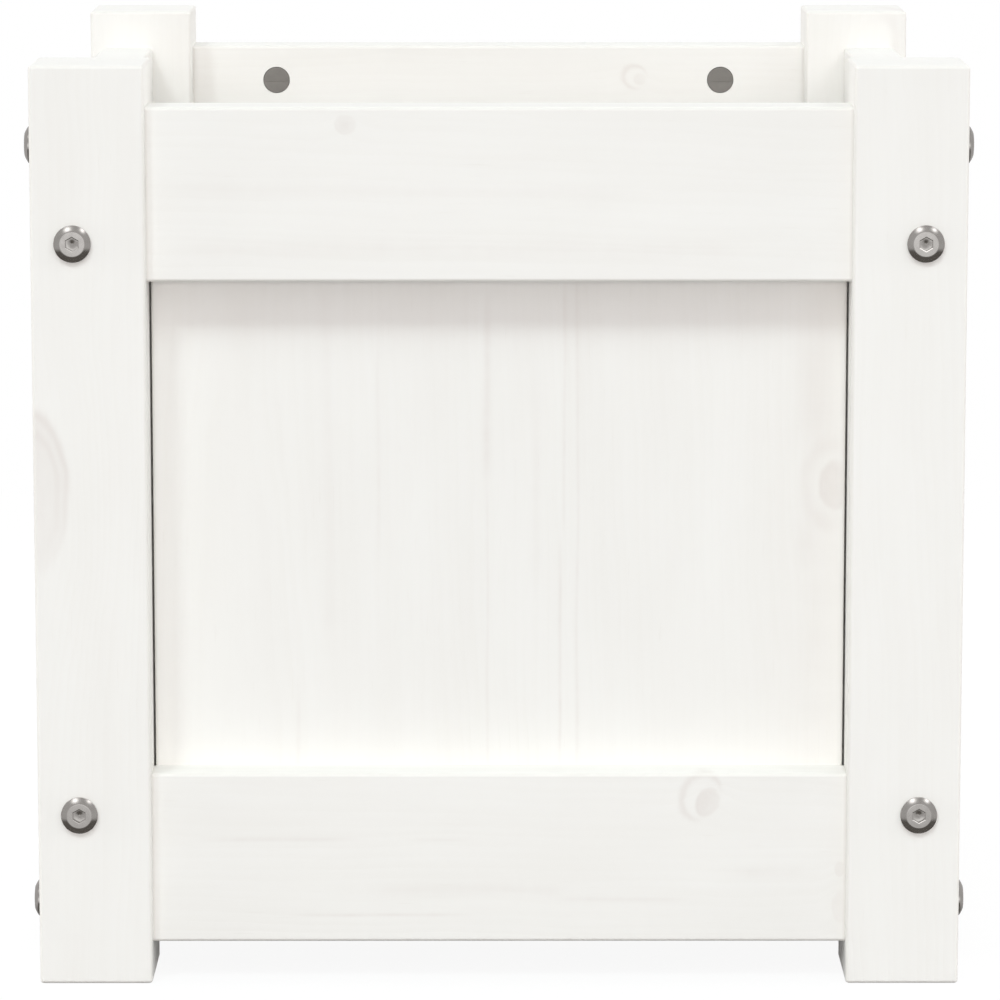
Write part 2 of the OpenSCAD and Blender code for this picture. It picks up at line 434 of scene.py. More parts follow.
def rebate_cutter(side, level):
    """Cutter for the rebate that takes the panel on a rail's inner edge."""
    low, high = (corner.copy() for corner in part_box(f"{level}_rail_{side}"))
    panel_low, panel_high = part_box("panel_" + side)
    run = RUN[side]
    low[run] -= CUT
    high[run] += CUT
    if OUTWARD[side][1 - run] > 0:
        low[1 - run] -= CUT
        high[1 - run] = panel_high[1 - run]
    else:
        low[1 - run] = panel_low[1 - run]
        high[1 - run] += CUT
    if level == "upper":
        low.z -= CUT
        high.z = panel_high.z + REBATE_PLAY
    else:
        low.z = panel_low.z - REBATE_PLAY
        high.z += CUT
    return block("cutter", low, high)


def make_rail(side, level):
    node = f"{level}_rail_{side}"
    low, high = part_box(node)
    piece = board("painted_" + node, low, high, RUN[side])
    cutters = [rebate_cutter(side, level)]
    for end in ENDS:
        cutters += joint_cutters(side, end)
    for face in nut_places(side):
        inner = face - OUTWARD[side] * CUT
        stop = face + OUTWARD[side] * (NUT_LEN + NUT_PLAY)
        cutters.append(round_bar("cutter", inner, stop, NUT_R + NUT_PLAY))
    cutters += pin_cutters(side)
    if level == "lower" and side in BEARER_SIDES:
        cutters += bearer_screw_cutters(side)
    cut(piece, near(cutters, low, high))
    return piece


def near(cutters, low, high):
    """The cutters that reach into a box. The others are thrown away."""
    kept = []
    for cutter in cutters:
        points = [point.co for point in cutter.data.vertices]
        apart = any(
            max(point[axis] for point in points) < low[axis]
            or min(point[axis] for point in points) > high[axis]
            for axis in (X, Y, Z)
        )
        if apart:
            bpy.data.objects.remove(cutter)
        else:
            kept.append(cutter)
    return kept


def make_panel(side):
    piece = board("painted_panel_" + side, *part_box("panel_" + side), Z, ease=PANEL_EASE)
    cut(piece, pin_cutters(side))
    return piece


def make_bearer(side):
    low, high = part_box("bearer_" + side)
    piece = board("painted_bearer_" + side, low, high, Y)
    cutters = bearer_screw_cutters(side)
    for k in range(1, SLAT_COUNT + 1):
        cutters += slat_screw_cutters(k)
    cut(piece, near(cutters, low, high))
    return piece


def make_slat(k):
    """A floor slat. The first and the last are notched round the posts."""
    low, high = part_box(f"slat_{k}")
    piece = board(f"painted_slat_{k}", low, high, X)
    cutters = slat_screw_cutters(k)
    if k in (1, SLAT_COUNT):
        cutters += [notch_cutter(low, high, end) for end in ENDS]
    cut(piece, cutters)
    return piece


def notch_cutter(low, high, end):
    """Cutter for the notch of an end slat, with the floor's own gap round the post."""
    gap = low.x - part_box("lower_rail_left")[1].x
    corner = SPAN - gap
    cut_low = Vector((corner, corner, low.z - CUT))
    cut_high = Vector((POST_OUT, POST_OUT, high.z + CUT))
    back = 1 if low.y + high.y > 0 else -1
    signs = Vector((end, back, 1))
    first = Vector(a * b for a, b in zip(cut_low, signs))
    second = Vector(a * b for a, b in zip(cut_high, signs))
    return block("cutter", Vector(map(min, first, second)), Vector(map(max, first, second)))


# Turned pieces: each is modelled along +Z, its head up, and then copied to its places


def turned(name, profile, sides=ROUND_SIDES):
    """A turned piece. Its profile is a list of (radius, height), and may end in radius 0."""
    radius, height = profile[0]
    bpy.ops.object.select_all(action="DESELECT")
    bpy.ops.mesh.primitive_circle_add(
        vertices=sides, radius=radius, fill_type="NGON", location=(0, 0, height)
    )
    piece = new_piece(name)
    start_edit(piece)
    bpy.ops.mesh.select_all(action="SELECT")
    for next_radius, next_height in profile[1:]:
        bpy.ops.mesh.extrude_region_move(
            TRANSFORM_OT_translate={"value": (0, 0, next_height - height)}
        )
        if next_radius == 0:
            bpy.ops.mesh.merge(type="CENTER")
            break
        share = next_radius / radius
        bpy.ops.transform.resize(
            value=(share, share, 1), center_override=(0, 0, next_height)
        )
        radius, height = next_radius, next_height
    bpy.ops.mesh.select_all(action="SELECT")
    bpy.ops.mesh.normals_make_consistent(inside=False)
    end_edit()
    return piece


def domed_step(start, end, bulge, steps):
    """Profile points between two points, bowed outwards by bulge at the middle."""
    along = Vector(end) - Vector(start)
    out = Vector((along.y, -along.x)).normalized()
    points = []
    for k in range(1, steps + 1):
        share = k / steps
        bow = 4 * share * (1 - share) * bulge
        points.append(tuple(Vector(start) + along * share + out * bow))
    return points


def make_bolt():
    """A button head bolt with a chamfered hexagon socket that ends in the cone of its drill."""
    profile = [
        (BOLT_R - BOLT_TIP, -BOLT_LEN),
        (BOLT_R, BOLT_TIP - BOLT_LEN),
        (BOLT_R, 0),
        (HEAD_R - HEAD_EDGE, 0),
        (HEAD_R, HEAD_EDGE),
        (HEAD_R, HEAD_RIM),
    ]
    profile += domed_step((HEAD_R, HEAD_RIM), (HEAD_FLAT_R, HEAD_H), HEAD_BULGE, HEAD_STEPS)
    bolt = turned("bolt", profile)
    # The corners of the hexagon lie further out than its flats by this factor
    to_corner = 1 / math.cos(math.pi / HEXAGON)
    corner_r = SOCKET_AF / 2 * to_corner
    drill_r = SOCKET_AF / 2 - SOCKET_DRILL_PLAY
    socket_end = HEAD_H - SOCKET_DEPTH
    slope = math.tan(SOCKET_SLOPE)
    shoulder = socket_end + SOCKET_DRILL_PLAY / 2
    drill_point = [
        (drill_r, socket_end + DRILL_OVERLAP),
        (drill_r, shoulder),
        (SOCKET_TIP_R, shoulder - (drill_r - SOCKET_TIP_R) * slope),
        (0, shoulder - drill_r * slope),
    ]
    mouth_depth = SOCKET_MOUTH * math.tan(MOUTH_SLOPE)
    mouth_r = (SOCKET_AF / 2 + SOCKET_MOUTH * (1 + CUT / mouth_depth)) * to_corner
    socket = [(corner_r, socket_end), (corner_r, HEAD_H - mouth_depth), (mouth_r, HEAD_H + CUT)]
    cut(bolt, [turned("cutter", socket, HEXAGON), turned("cutter", drill_point)])
    mark_turned(bolt)
    return bolt


def rod_profile(radius, edge, bottom, top):
    """Profile of a rod whose ends are chamfered."""
    small = radius - edge
    return [(small, bottom), (radius, bottom + edge), (radius, top - edge), (small, top)]


def make_nut():
    """A barrel nut with its slotted end at the origin, looking along +Z."""
    nut = turned("nut", rod_profile(NUT_R, NUT_EDGE, -NUT_LEN, 0))
    slot_low = Vector((-2 * NUT_R, -NUT_SLOT_W / 2, -NUT_SLOT_DEPTH))
    slot_high = Vector((2 * NUT_R, NUT_SLOT_W / 2, CUT))
    slot = block("cutter", slot_low, slot_high)
    bore_start = Vector((-2 * NUT_R, 0, -NUT_AXIS_DEPTH))
    bore_end = Vector((2 * NUT_R, 0, -NUT_AXIS_DEPTH))
    bore = round_bar("cutter", bore_start, bore_end, BOLT_R + THREAD_PLAY)
    cut(nut, [slot, bore])
    mark_turned(nut)
    return nut


def screw_blank(name, length, play=0.0):
    """The outer shape of a countersunk wood screw or of the hole that takes it."""
    head_r = SCREW_HEAD_R + play
    shank_r = SCREW_R + play
    cone = SCREW_HEAD_R - SCREW_R
    profile = [(head_r, 0), (shank_r, -cone), (shank_r, SCREW_R - length), (0, -length - play)]
    if play:
        profile.insert(0, (head_r, CUT))
    return turned(name, profile, SCREW_SIDES)


def make_screw(node, axis):
    """A wood screw with a cross recess, as long as its node is deep."""
    low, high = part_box(node)
    screw = screw_blank("screw", high[axis] - low[axis])
    cross = []
    for half_x, half_y in ((CROSS_LEN / 2, CROSS_W / 2), (CROSS_W / 2, CROSS_LEN / 2)):
        bottom = Vector((-half_x, -half_y, -CROSS_DEPTH))
        cross.append(block("cutter", bottom, Vector((half_x, half_y, CUT))))
    cut(screw, cross)
    mark_turned(screw)
    return screw


def make_pin(side):
    """A panel pin with a low domed head that ends flush with the panel."""
    low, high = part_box("pins_" + side)
    length = high[1 - RUN[side]] - low[1 - RUN[side]]
    profile = [(PIN_HEAD_R * PIN_DOME, 0), (PIN_HEAD_R, -PIN_HEAD_T / 3), (PIN_HEAD_R, -PIN_HEAD_T)]
    profile += [(PIN_R, -PIN_HEAD_T), (PIN_R, 2 * PIN_R - length), (0, -length)]
    pin = turned("pin", profile, PIN_SIDES)
    mark_turned(pin)
    return pin


def make_dowel():
    """A beech dowel with chamfered ends and flutes that let the glue and the air out."""
    profile = rod_profile(DOWEL_R, DOWEL_EDGE, -DOWEL_REACH, DOWEL_REACH)
    dowel = turned("dowel", profile, DOWEL_SIDES)
    start_edit(dowel)
    sector = 2 * math.pi / DOWEL_SIDES

    def every_second(face):
        centre = face.calc_center_median()
        turn = round(math.atan2(centre.y, centre.x) / sector - 0.5)
        return abs(face.normal.z) < 0.1 and turn % 2 == 0

    choose(dowel, "FACE", every_second)
    bpy.ops.mesh.inset(thickness=DOWEL_FLUTE / 2, use_individual=True)
    bpy.ops.transform.shrink_fatten(value=-DOWEL_FLUTE)
    end_edit()
    return dowel


def mark_turned(piece):
    """Keeps each point's place round the turning axis, in millimetres, for the lathe marks."""
    layer = piece.data.uv_layers.new(name="turned")
    for loop in piece.data.loops:
        place = piece.data.vertices[loop.vertex_index].co
        layer.data[loop.index].uv = (place.x / MM, place.y / MM)


# Finishes


class Signal:
    """A number that varies over a surface. Arithmetic on it adds Math nodes to its material."""

    def __init__(self, socket):
        self.socket = socket

    def math(self, operation, *values):
        node = self.socket.id_data.nodes.new("ShaderNodeMath")
        node.operation = operation
        for socket, value in zip(node.inputs, values):
            feed(socket, value)
        return Signal(node.outputs[0])

    def __add__(self, other):
        return self.math("ADD", self, other)

    def __sub__(self, other):
        return self.math("SUBTRACT", self, other)

    def __mul__(self, other):
        return self.math("MULTIPLY", self, other)

    def __truediv__(self, other):
        return self.math("DIVIDE", self, other)

    def __radd__(self, other):
        return self.math("ADD", other, self)

    def __rsub__(self, other):
        return self.math("SUBTRACT", other, self)

    def __abs__(self):
        return self.math("ABSOLUTE", self)

    def least(self, other):
        return self.math("MINIMUM", self, other)

    def most(self, other):
        return self.math("MAXIMUM", self, other)

    def root(self):
        return self.math("SQRT", self)

    def fraction(self):
        return self.math("FRACT", self)

    def bell(self):
        """1 where the number is 0, falling off smoothly to both sides."""
        return self.math("EXPONENT", self * self * -1)


def feed(socket, value):
    """Links a signal to a socket, or sets the socket's own value."""
    if isinstance(value, Signal):
        socket.id_data.links.new(value.socket, socket)
    else:
        socket.default_value = value


# Numbers of the Mix node's sockets where it mixes colours
MIX_FACTOR = 0
MIX_FIRST = 6
MIX_SECOND = 7
MIX_RESULT = 2


class Finish:
    """A node tree that is built up node by node."""

    def __init__(self, owner):
        owner.use_nodes = True
        self.tree = owner.node_tree

    def node(self, kind, settings, inputs, output=0):
        """Adds a node with its settings and its sockets' values or links."""
        node = self.tree.nodes.new(kind)
        for name, value in settings.items():
            setattr(node, name, value)
        for name, value in inputs.items():
            feed(node.inputs[name], value)
        return Signal(node.outputs[output])

    def place(self):
        return self.node("ShaderNodeTexCoord", {}, {}, "Object")

    def vector(self, operation, first, second):
        return self.node("ShaderNodeVectorMath", {"operation": operation}, {0: first, 1: second})

    def scaled(self, vector, scale):
        settings = {"operation": "SCALE"}
        return self.node("ShaderNodeVectorMath", settings, {0: vector, "Scale": scale})

    def split(self, vector):
        return [self.node("ShaderNodeSeparateXYZ", {}, {0: vector}, axis) for axis in (X, Y, Z)]

    def joined(self, x, y, z):
        return self.node("ShaderNodeCombineXYZ", {}, {0: x, 1: y, 2: z})

    def noise(self, vector, scale=1.0, detail=2.0, roughness=0.5):
        inputs = {"Vector": vector, "Scale": scale, "Detail": detail, "Roughness": roughness}
        return self.node("ShaderNodeTexNoise", {}, inputs)

    def noise_along(self, number, scale=1.0, detail=2.0):
        inputs = {"W": number, "Scale": scale, "Detail": detail}
        return self.node("ShaderNodeTexNoise", {"noise_dimensions": "1D"}, inputs)

    def ease(self, value, start, end):
        """0 below start and 1 above end, with a smooth step between."""
        inputs = {"Value": value, "From Min": start, "From Max": end}
        return self.node("ShaderNodeMapRange", {"interpolation_type": "SMOOTHSTEP"}, inputs)

    def blend(self, factor, first, second):
        """A colour between two colours."""
        inputs = {MIX_FACTOR: factor, MIX_FIRST: first, MIX_SECOND: second}
        return self.node("ShaderNodeMix", {"data_type": "RGBA"}, inputs, MIX_RESULT)

    def bump(self, height):
        """A normal from a height in millimetres."""
        inputs = {"Height": height, "Distance": MM, "Strength": 1.0}
        return self.node("ShaderNodeBump", {}, inputs)


def new_material(name):
    material = bpy.data.materials.new(name)
    finish = Finish(material)
    return material, finish, finish.tree.nodes["Principled BSDF"].inputs


# A knot in a board's show face. along and across give its place from the board's centre and length
# and width its half sizes, in millimetres. lean turns it, in degrees. core is how much its middle
# shows through the paint. Each ring is (size, width, show). pull is (along, across, share): the
# rings show most on the side that it points to, and lie further out there by share.
Knot = namedtuple("Knot", "along across length width lean core rings pull")
# A darker line along the grain, or a painted shadow drawn as a broad one: its place across, its
# start and end along, its half width and how much it shows.
Streak = namedtuple("Streak", "across start end width show")

# The colours of the paint: over dark late wood; over knots, and over the painted shadow on the front
# panel; and where it is worn thin, which along the edges is also painted shade that tones down their
# bright highlight
PAINT = (0.872, 0.864, 0.836, 1)
GRAIN_TINT = (0.825, 0.808, 0.772, 1)
KNOT_AND_SHADE_TINT = (0.745, 0.704, 0.672, 1)
THIN_COAT_AND_EDGE_SHADE_TINT = (0.79, 0.772, 0.735, 1)
# Length along the grain and width across it of the spots in each mark, in millimetres
FIBRE = (25, 0.9)
BRUSH = (60, 0.5)
CLOUD = (80, 16)
DASH = (13, 0.8)
RING_WAVES = (90, 26)
RING_GAPS = (140, 14)
# How much of the grain tint each mark brings in, and the range of the boards' own tones
FIBRE_SHOW = 0.24
CLOUD_SHOW = 0.9
DASH_SHOW = 0.35
RING_SHOW = 0.19
BOARD_TONES = (0.12, 0.28)
# How much of the thin tint shows along the edges, where it is both thin paint and painted shade that
# tones down the bright highlight on the eased edges, and on worn spots near them
EDGE_THIN_AND_SHADE_SHOW = 0.75
WORN_SHOW = 0.2
# Distances from an edge between which the thin coat and the painted edge shade end, and between
# which the worn spots end, in millimetres
EDGE_THIN_AND_SHADE_END = (0.35, EASE / MM)
WORN_END = (0.2, 2.0)
# Height or depth of each mark, in millimetres
FIBRE_DEPTH = 0.012
BRUSH_DEPTH = 0.01
RING_DEPTH = 0.016
KNOT_DEPTH = 0.02
PAINT_ROUGHNESS = 0.5
PAINT_SHINE = 0.35

# Thickness of a year's growth, distance of the pith and sway of the rings, in millimetres
YEAR = (2.6, 3.6)
PITH = (70, 110)
RING_SWAY = 9.0
# How far the grain runs out of a board, as a slope
GRAIN_SLOPE = (-0.03, 0.03)
# Where each board's pattern starts in the noise
PATTERN = (-400, 400)

# A knot's outline wanders by this share of its size, and the knot narrows with the depth in
# millimetres. Its middle fades out between two shares of its size, and its rim is a line there.
KNOT_WANDER = 0.26
KNOT_TAPER = 0.02
KNOT_EDGE = (0.76, 1.12)
KNOT_RIM = 0.94
KNOT_RIM_WIDTH = 0.12
KNOT_RIM_SHOW = 0.15
# How far a knot pushes the rings aside as a share of its width, and how many of its sizes out
KNOT_PUSH = 0.9
KNOT_PUSH_REACH = 1.9
# How far a streak sways and how softly it ends, in millimetres
STREAK_SWAY = 1.4
STREAK_FADE = 9


class Board:
    """Millimetre coordinates of a board from its centre, along its grain, across and through it."""

    def __init__(self, finish, low, high, along, depth_axis, face):
        self.finish = finish
        self.half = (high - low) / 2 / MM
        centred = finish.vector("SUBTRACT", finish.place(), (low + high) / 2)
        self.point = finish.scaled(centred, 1 / MM)
        self.axes = finish.split(self.point)
        self.a = self.axes[along]
        self.b = self.axes[3 - along - depth_axis]
        self.c = self.axes[depth_axis]
        self.depth = (self.half[depth_axis] - self.c * face).most(0.0)

    def edge_distance(self):
        """Distance to the nearest edge: the middle one of the three distances to the faces."""
        x, y, z = (half - abs(axis) for half, axis in zip(self.half, self.axes))
        return x.least(y).most(x.most(y).least(z))

    def noise(self, start, length, width, detail=2.0, roughness=0.5):
        """Noise with spots of this length along the grain and this width across it."""
        place = self.finish.joined(self.a / length + start, self.b / width, self.c / width)
        return self.finish.noise(place, 1.0, detail, roughness)


def knot_marks(finish, board, knot, offset):
    """How much a knot shows, how far it pushes the growth rings aside and its height."""
    turn = math.radians(knot.lean)
    da, db = board.a - knot.along, board.b - knot.across
    u = (da * math.cos(turn) + db * math.sin(turn)) / knot.length
    v = (db * math.cos(turn) - da * math.sin(turn)) / knot.width
    place = finish.joined(u * 1.3 + offset, v * 1.3, board.c / 6)
    wander = (finish.noise(place) - 0.5) * KNOT_WANDER
    # Distance from the knot's middle in its half sizes, so that its edge lies round 1
    far = (u * u + v * v).root() + wander + board.depth * KNOT_TAPER
    pull_u, pull_v, share = knot.pull
    side = u * pull_u + v * pull_v
    weight = finish.ease(side, -0.9, 0.7)
    inside = 1 - finish.ease(far, *KNOT_EDGE)
    rim = ((far - KNOT_RIM) / KNOT_RIM_WIDTH).bell()
    patchy = finish.noise(finish.scaled(place, 2.5)) * 0.5 + 0.75
    show = (inside * patchy * (weight * 0.4 + 0.6) + rim * KNOT_RIM_SHOW) * knot.core
    for size, width, ring_show in knot.rings:
        ring = ((far - side * share - size) / width).bell()
        show = show + ring * weight * ring_show
    push = (far / KNOT_PUSH_REACH).bell() * (KNOT_PUSH * knot.width)
    relief = inside * KNOT_DEPTH - rim * KNOT_DEPTH
    return show, push, relief


def streak_marks(finish, board, streak):
    """How much a darker line along the grain, or a painted shadow drawn as one, shows."""
    sway = (finish.noise_along(board.a / 70 + streak.across) - 0.5) * STREAK_SWAY
    line = ((board.b - streak.across + sway) / streak.width).bell()
    start = finish.ease(board.a, streak.start - STREAK_FADE, streak.start + STREAK_FADE)
    end = 1 - finish.ease(board.a, streak.end - STREAK_FADE, streak.end + STREAK_FADE)
    broken = finish.noise_along(board.a / 8 - streak.across) * 1.1 + 0.45
    return line * start * end * broken * streak.show


def growth_rings(finish, board, push, quarter, rng):
    """The dark late wood of the growth rings, from 0 to 1, round a pith outside the board."""
    turn = math.pi / 2 * quarter
    reach = rng.uniform(*PITH)
    pith_b = rng.choice((-1, 1)) * reach * math.sin(turn)
    pith_c = reach * math.cos(turn)
    start = rng.uniform(*PATTERN)
    sway = board.noise(start, *RING_WAVES, 3.0) - 0.5
    from_b, from_c = board.b - pith_b, board.c - pith_c
    radius = (from_b * from_b + from_c * from_c).root() + sway * RING_SWAY + push
    radius = radius + board.a * rng.uniform(*GRAIN_SLOPE)
    age = radius / rng.uniform(*YEAR) + finish.noise_along(radius / 9 + start) * 1.6
    # Through each year the wood darkens slowly, and then it ends sharply
    year = age.fraction()
    late = finish.ease(year, 0.2, 0.88) * (1 - finish.ease(year, 0.9, 1.0))
    return late * (board.noise(start, *RING_GAPS) * 1.7 - 0.35).most(0.0)


def painted_pine(node, along, depth_axis, seed, face, knots, streaks=(), quarter=0.8):
    """Pine under two coats of white paint: grain, knots and brush marks show through faintly.
    Painted shade darkens its edges, and a painted shadow can come in as a streak.

    depth_axis is the axis through the board, and face tells which of its two ends is the show
    face. quarter is 1 for straight quarter sawn grain and 0 for flat sawn grain.
    """
    rng = random.Random(seed)
    material, finish, shader = new_material("paint_" + node)
    board = Board(finish, *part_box(node), along, depth_axis, face)
    start = rng.uniform(*PATTERN)
    marks = [knot_marks(finish, board, knot, start) for knot in knots]
    # Knots and streaks darken the paint; on the front panel one streak is a painted shadow
    stain_and_shade = sum(show for show, _, _ in marks)
    stain_and_shade = stain_and_shade + sum(streak_marks(finish, board, streak) for streak in streaks)
    push = sum(push for _, push, _ in marks)
    relief = sum(relief for _, _, relief in marks)
    grain = growth_rings(finish, board, push, quarter, rng)

    fibre = board.noise(start, *FIBRE, 3.0, 0.6) - 0.5
    brush = board.noise(start, *BRUSH) - 0.5
    cloud = board.noise(-start, *CLOUD) - 0.5
    dash = finish.ease(board.noise(-start, *DASH), 0.66, 0.8)
    tone = rng.uniform(*BOARD_TONES)
    tint = grain * RING_SHOW + fibre * FIBRE_SHOW + cloud * CLOUD_SHOW + dash * DASH_SHOW + tone
    colour = finish.blend(tint, PAINT, GRAIN_TINT)
    colour = finish.blend(stain_and_shade, colour, KNOT_AND_SHADE_TINT)

    edge = board.edge_distance()
    # Along the edges the paint is thin and is also painted darker: painted shade that tones down the
    # bright highlight on the eased edges
    thin_and_shaded_edge = 1 - finish.ease(edge, *EDGE_THIN_AND_SHADE_END)
    near_edge = 1 - finish.ease(edge, *WORN_END)
    worn = near_edge * finish.ease(finish.noise(board.point, 0.12, 3.0), 0.48, 0.75)
    colour = finish.blend(thin_and_shaded_edge * EDGE_THIN_AND_SHADE_SHOW + worn * WORN_SHOW, colour, THIN_COAT_AND_EDGE_SHADE_TINT)

    height = fibre * FIBRE_DEPTH + brush * BRUSH_DEPTH - grain * RING_DEPTH + relief
    feed(shader["Base Color"], colour)
    feed(shader["Roughness"], brush * 0.16 + grain * 0.06 + PAINT_ROUGHNESS)
    shader["Specular IOR Level"].default_value = PAINT_SHINE
    feed(shader["Normal"], finish.bump(height))
    return material


BEECH_DARK = (0.62, 0.43, 0.25, 1)
BEECH_LIGHT = (0.74, 0.56, 0.36, 1)
BEECH_FLECK = (0.40, 0.24, 0.12, 1)


def bare_beech():
    """Bare beech of the dowels, with short darker flecks."""
    material, finish, shader = new_material("bare_beech")
    x, y, z = finish.split(finish.scaled(finish.place(), 1 / MM))
    tone = finish.noise(finish.joined(x / 3, y / 3, z / 3), 1.0, 4.0, 0.6)
    fleck = finish.ease(finish.noise(finish.joined(x * 0.6, y * 0.6, z * 2.0), 1.0, 2.0), 0.6, 0.75)
    colour = finish.blend(tone, BEECH_DARK, BEECH_LIGHT)
    colour = finish.blend(fleck * 0.5, colour, BEECH_FLECK)
    feed(shader["Base Color"], colour)
    feed(shader["Roughness"], tone * 0.2 + 0.55)
    feed(shader["Normal"], finish.bump(tone * 0.03 - fleck * 0.02))
    return material


# Plated steel: its lighter and darker colour, its roughness and the depth of its lathe marks
Metal = namedtuple("Metal", "light dark roughness marks")
NICKEL = Metal((0.56, 0.54, 0.52, 1), (0.52, 0.5, 0.48, 1), 0.17, 0.003)
ZINC = Metal((0.38, 0.364, 0.349, 1), (0.36, 0.346, 0.331, 1), 0.42, 0.006)


def turned_metal(name, metal):
    """Plated steel with fine marks round its turning axis and a few scratches."""
    material, finish, shader = new_material(name)
    u, v, _ = finish.split(finish.node("ShaderNodeUVMap", {"uv_map": "turned"}, {}))
    radius = (u * u + v * v).root()
    groove = finish.noise_along(radius, 9.0, 3.0)
    place = finish.scaled(finish.place(), 1 / MM)
    cloud = finish.noise(place, 0.35, 3.0)
    scratch = finish.ease(finish.noise(place, 2.4, 4.0, 0.7), 0.58, 0.7)
    colour = finish.blend(finish.ease(cloud, 0.3, 0.75), metal.light, metal.dark)
    feed(shader["Base Color"], colour)
    shader["Metallic"].default_value = 1.0
    even = metal.roughness - 0.06
    feed(shader["Roughness"], cloud * 0.12 + scratch * 0.1 + (groove - 0.5) * 0.1 + even)
    feed(shader["Normal"], finish.bump((groove - 0.5) * metal.marks + scratch * -0.002))
    return material


# Floor, light and camera

WHITE = (1, 1, 1, 1)
FLOOR_HALF = 6.0
FLOOR_BOUNCE = (0.42, 0.42, 0.42, 1)
# The floor's shadow shows this much near the planter, and fades out between these distances
SHADOW_SHARE = 0.08
SHADOW_FADE = (0.4, 0.95)

# Light from all round, from just over the horizon to high up, and the dimmer rest of the sky. It
# comes in and fades out between these heights, where 0 is the horizon and 1 straight up.
DOME_LIGHT = (0.845, 0.828, 0.828, 1)
DOME_DIM = (0.03, 0.03, 0.03, 1)
DOME_START = (0.11, 0.24)
DOME_END = (0.8, 0.92)

# What metal reflects: a grey studio, darker towards the ground, brighter straight ahead
STUDIO_GREY = (0.54, 0.532, 0.525, 1)
STUDIO_GROUND = (0.14, 0.13, 0.12, 1)
STUDIO_AHEAD = (1.2, 1.2, 1.2, 1)
STUDIO_SPOT = (3.0, 3.0, 3.0, 1)
GROUND_END = (-0.52, -0.3)
AHEAD_WIDTH = 0.3
AHEAD_HEIGHT = 0.2

# A lamp shines at the planter from degrees left of the front and degrees up. Its size and distance
# are in metres.
Lamp = namedtuple("Lamp", "name left up width height watts")
KEY_LAMP = Lamp("key_lamp", 31, 50, 3.0, 3.2, 888)
FILL_LAMP = Lamp("fill_lamp", -50, 45, 8.4, 4.0, 424)
HIGH_LAMPS = (KEY_LAMP, FILL_LAMP, Lamp("top_lamp", 0, 58, 4.0, 6.0, 575))
BACK_LAMPS = (
    Lamp("back_left_lamp", 150, 48, 9.2, 6.2, 455),
    Lamp("back_right_lamp", -150, 48, 9.2, 6.2, 455),
)
FRONT_LAMPS = (Lamp("front_lamp", 0, 8, 6.8, 3.2, 1086),)
SIDE_LAMPS = (
    Lamp("left_lamp", 90, 4, 6.8, 2.4, 1380),
    Lamp("right_lamp", -90, 4, 6.8, 2.4, 1380),
    Lamp("rear_lamp", 180, 4, 6.8, 2.4, 1440),
)
HIGH_TINT = (0.873, 0.987, 1.0)
BACK_TINT = (1.0, 0.952, 0.985)
FRONT_TINT = (1.0, 0.911, 0.902)
SIDE_TINT = (0.975, 0.955, 0.945)
LAMP_DISTANCE = 20
AIM = Vector((0, 0, 0.17))
# The lamps that metal mirrors, as soft spots of this size
MIRRORED = ((KEY_LAMP, 0.18), (FILL_LAMP, 0.14))


def towards_lamp(lamp):
    left, up = math.radians(lamp.left), math.radians(lamp.up)
    return Vector((-math.sin(left) * math.cos(up), -math.cos(left) * math.cos(up), math.sin(up)))


def light_path(finish, *names):
    """1 for the kinds of ray that are named."""
    rays = [finish.node("ShaderNodeLightPath", {}, {}, name) for name in names]
    return sum(rays).least(1.0)


def add_floor():
    """A white floor that keeps a faint shadow round the planter and is plain white further off."""
    bpy.ops.object.select_all(action="DESELECT")
    bpy.ops.mesh.primitive_plane_add(size=2 * FLOOR_HALF)
    floor = new_piece("studio_floor")
    material, finish, shader = new_material("floor_white")
    seen = light_path(finish, "Is Camera Ray", "Is Transmission Ray")
    feed(shader["Base Color"], finish.blend(seen, FLOOR_BOUNCE, WHITE))
    shader["Roughness"].default_value = 0.9
    shader["Specular IOR Level"].default_value = 0.0
    x, y, _ = finish.split(finish.place())
    far = finish.ease((x * x + y * y).root(), *SHADOW_FADE)
    plain = far * SHADOW_SHARE + (1 - SHADOW_SHARE)
    surface = finish.tree.nodes["Material Output"].inputs["Surface"]
    principled = Signal(finish.tree.nodes["Principled BSDF"].outputs[0])
    glow = finish.node("ShaderNodeEmission", {}, {"Color": WHITE, "Strength": 1.0})
    feed(surface, finish.node("ShaderNodeMixShader", {}, {0: seen * plain, 1: principled, 2: glow}))
    floor.data.materials.append(material)
    floor.visible_glossy = False


def add_dome():
    """Soft light from all round. The camera sees plain white, and metal sees the grey studio."""
    world = bpy.data.worlds.new("studio_dome")
    bpy.context.scene.world = world
    finish = Finish(world)
    direction = finish.node("ShaderNodeTexCoord", {}, {}, "Generated")
    x, y, up = finish.split(direction)
    studio = finish.blend(finish.ease(up, *GROUND_END), STUDIO_GROUND, STUDIO_GREY)
    in_front = finish.ease(y * -1, 0.0, 0.5)
    ahead = (x / AHEAD_WIDTH).bell() * (up / AHEAD_HEIGHT).bell() * in_front
    studio = finish.blend(ahead, studio, STUDIO_AHEAD)
    for lamp, size in MIRRORED:
        towards = towards_lamp(lamp)
        facing_it = x * towards.x + y * towards.y + up * towards.z
        away = ((1 - facing_it) * 2).most(0.0).root()
        studio = finish.blend((away / size).bell(), studio, STUDIO_SPOT)
    band = finish.ease(up, *DOME_START) * (1 - finish.ease(up, *DOME_END))
    dome = finish.blend(band, DOME_DIM, DOME_LIGHT)
    glossy = light_path(finish, "Is Glossy Ray")
    seen = light_path(finish, "Is Camera Ray", "Is Transmission Ray")
    colour = finish.blend(seen, finish.blend(glossy, dome, studio), WHITE)
    feed(finish.tree.nodes["Background"].inputs["Color"], colour)


